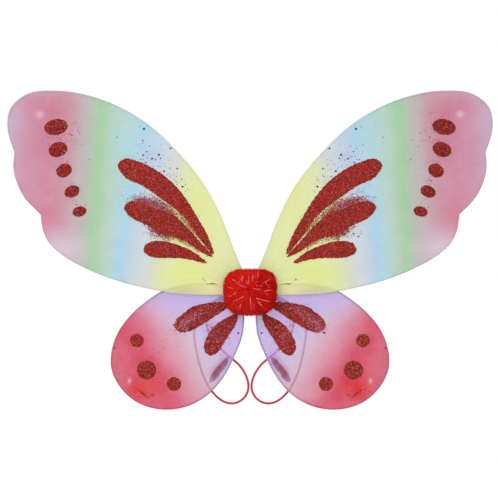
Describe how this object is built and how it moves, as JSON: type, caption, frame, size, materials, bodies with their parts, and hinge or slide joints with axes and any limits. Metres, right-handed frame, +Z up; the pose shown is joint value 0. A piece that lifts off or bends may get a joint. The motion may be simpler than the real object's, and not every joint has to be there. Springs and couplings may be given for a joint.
{
  "type": "fairy wings",
  "caption": "Wire-framed sheer fairy wings that fold forward at a pom-pom centre, with glitter markings and elastic shoulder loops.",
  "frame": {"origin": "middle of the felt patch's rear face, which rests on the wearer's back", "axes": "+X to the viewer's right along the span, +Z up, -Y towards the viewer who sees the pom-pom, +Y towards the wearer's back"},
  "size_m": [0.4848, 0.0314, 0.3187],
  "materials": {
    "frame_wire": "satin, thin white coating",
    "cloth_tape": "matt woven cotton tape",
    "wadding": "soft matt polyester wadding",
    "red_felt": "matt pressed felt",
    "red_thread": "satin polyester thread",
    "white_thread": "satin polyester thread",
    "pompom": "soft fibre with metallic tinsel",
    "elastic_cord": "braided elastic",
    "upper_fabric": "sheer shiny nylon with a printed rainbow fade",
    "lower_fabric": "sheer shiny nylon with a printed pink fade",
    "glitter_glue": "dark red glitter in clear glue"
  },
  "bodies": {
    "centre": {"binding_tape_upper": "cloth_tape", "binding_tape_lower": "cloth_tape", "back_wadding": "wadding", "back_felt": "red_felt", "felt_stitches": "red_thread", "strap_knot_left": "elastic_cord", "strap_knot_right": "elastic_cord", "knot_stitches": "red_thread", "pompom_core": "pompom", "pompom_tie_thread": "red_thread", "pompom_fluff_left": "pompom", "pompom_fluff_right": "pompom"},
    "left_wings": {"wire_twist_left": "frame_wire", "centre_tie_left": "white_thread", "wire_upper_left": "frame_wire", "wire_lower_left": "frame_wire", "fabric_upper_left": "upper_fabric", "fabric_lower_left": "lower_fabric", "glitter_strokes_upper_left": "glitter_glue", "glitter_dots_upper_left": "glitter_glue", "glitter_strokes_lower_left": "glitter_glue", "glitter_dots_lower_left": "glitter_glue"},
    "right_wings": {"wire_twist_right": "frame_wire", "centre_tie_right": "white_thread", "wire_upper_right": "frame_wire", "wire_lower_right": "frame_wire", "fabric_upper_right": "upper_fabric", "fabric_lower_right": "lower_fabric", "glitter_strokes_upper_right": "glitter_glue", "glitter_dots_upper_right": "glitter_glue", "glitter_strokes_lower_right": "glitter_glue", "glitter_dots_lower_right": "glitter_glue"},
    "left_strap": {"strap_left": "elastic_cord"},
    "right_strap": {"strap_right": "elastic_cord"}
  },
  "joints": [
    {"name": "left_fold", "type": "hinge", "parent": "centre", "child": "left_wings", "pos_m": [-0.005, -0.01, 0], "axis": [0, 0, 1], "range_deg": [0, 75], "deforming": ["pompom_fluff_left"]},
    {"name": "right_fold", "type": "hinge", "parent": "centre", "child": "right_wings", "pos_m": [0.005, -0.01, 0], "axis": [0, 0, -1], "range_deg": [0, 75], "deforming": ["pompom_fluff_right"]},
    {"name": "left_strap_swing", "type": "hinge", "parent": "centre", "child": "left_strap", "pos_m": [-0.0186, -0.004, -0.004], "axis": [1, 0, 0], "range_deg": [0, 160]},
    {"name": "right_strap_swing", "type": "hinge", "parent": "centre", "child": "right_strap", "pos_m": [0.0186, -0.004, -0.004], "axis": [1, 0, 0], "range_deg": [0, 160]}
  ]
}
